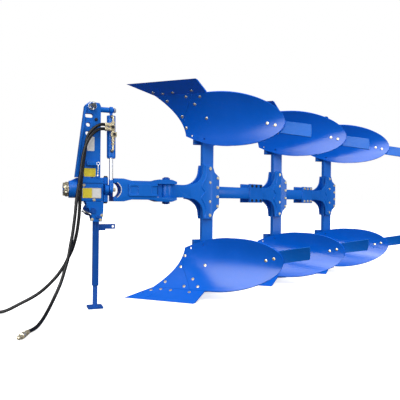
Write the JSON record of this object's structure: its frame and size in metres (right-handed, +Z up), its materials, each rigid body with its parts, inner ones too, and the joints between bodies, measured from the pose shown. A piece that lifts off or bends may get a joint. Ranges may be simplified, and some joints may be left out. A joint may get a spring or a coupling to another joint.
{
  "type": "reversible moldboard plough",
  "caption": "Mounted reversible moldboard plough: headstock with turnover cylinder, diagonal beam, upper and lower plough bodies on straight legs, parking stand and loose hydraulic hoses.",
  "frame": {"origin": "on the floor, under the middle of the length and width, with the loose hoses left out", "axes": "-X to the front, where the tractor hitches; +X to the last body; +Y to the side that the beam runs out to; +Z up"},
  "size_m": [3.366, 1.4878, 1.284],
  "materials": {
    "blue_paint": "glossy",
    "dark_blue_paint": "satin",
    "zinc_plate": "yellow passivated zinc",
    "bright_steel": "bright",
    "hose_rubber": "matt"
  },
  "bodies": {
    "headstock": {"tower": "blue_paint", "top_link_pin": "bright_steel", "shaft_housing": "blue_paint", "lower_hitch": "blue_paint", "lower_cross_shaft": "bright_steel", "stand_tube": "dark_blue_paint", "hose_a": "hose_rubber", "hose_b": "hose_rubber", "hose_coupler_a": "zinc_plate", "hose_coupler_b": "zinc_plate"},
    "ram_body": {"ram_barrel": "blue_paint", "valve_block": "zinc_plate"},
    "ram_rod_body": {"ram_rod": "bright_steel"},
    "stand_leg_body": {"stand_leg": "dark_blue_paint"},
    "turning_frame": {"beam_inner": "blue_paint", "beam_middle": "blue_paint", "beam_outer": "blue_paint", "frog_1_lower": "blue_paint", "frog_1_upper": "blue_paint", "frog_2_lower": "blue_paint", "frog_2_upper": "blue_paint", "frog_3_lower": "blue_paint", "frog_3_upper": "blue_paint", "leg_1_lower": "blue_paint", "leg_1_upper": "blue_paint", "leg_2_lower": "blue_paint", "leg_2_upper": "blue_paint", "leg_3_lower": "blue_paint", "leg_3_upper": "blue_paint", "leg_bracket_1": "blue_paint", "leg_bracket_2": "blue_paint", "leg_bracket_3": "blue_paint", "mouldboard_1_lower": "blue_paint", "mouldboard_1_upper": "blue_paint", "mouldboard_2_lower": "blue_paint", "mouldboard_2_upper": "blue_paint", "mouldboard_3_lower": "blue_paint", "mouldboard_3_upper": "blue_paint", "pivot_bolt": "zinc_plate", "shaft_nut": "zinc_plate", "share_1_lower": "blue_paint", "share_1_upper": "blue_paint", "share_2_lower": "blue_paint", "share_2_upper": "blue_paint", "share_3_lower": "blue_paint", "share_3_upper": "blue_paint", "share_point_1_lower": "blue_paint", "share_point_1_upper": "blue_paint", "share_point_2_lower": "blue_paint", "share_point_2_upper": "blue_paint", "share_point_3_lower": "blue_paint", "share_point_3_upper": "blue_paint", "shin_1_lower": "blue_paint", "shin_1_upper": "blue_paint", "shin_2_lower": "blue_paint", "shin_2_upper": "blue_paint", "shin_3_lower": "blue_paint", "shin_3_upper": "blue_paint", "turnover_shaft": "blue_paint", "yoke": "blue_paint"}
  },
  "joints": [
    {"name": "turnover", "type": "hinge", "parent": "headstock", "child": "turning_frame", "pos_m": [-1.16544, -0.28773, 0.642], "axis": [-1, 0, 0], "range_deg": [0, 180]},
    {"name": "ram_swing", "type": "hinge", "parent": "headstock", "child": "ram_body", "pos_m": [-1.10844, -0.31773, 1.074], "axis": [1, 0, 0], "range_deg": [0, 14.5]},
    {"name": "ram_slide", "type": "slide", "parent": "ram_body", "child": "ram_rod_body", "axis": [0, -0.0578, -0.9983], "range_m": [-0.056, 0.008]},
    {"name": "stand_slide", "type": "slide", "parent": "headstock", "child": "stand_leg_body", "axis": [0, 0, 1], "range_m": [0, 0.107]}
  ],
  "couplings": [
    {"joint": "ram_swing", "follows": "turnover", "ratio": 0.08}
  ]
}
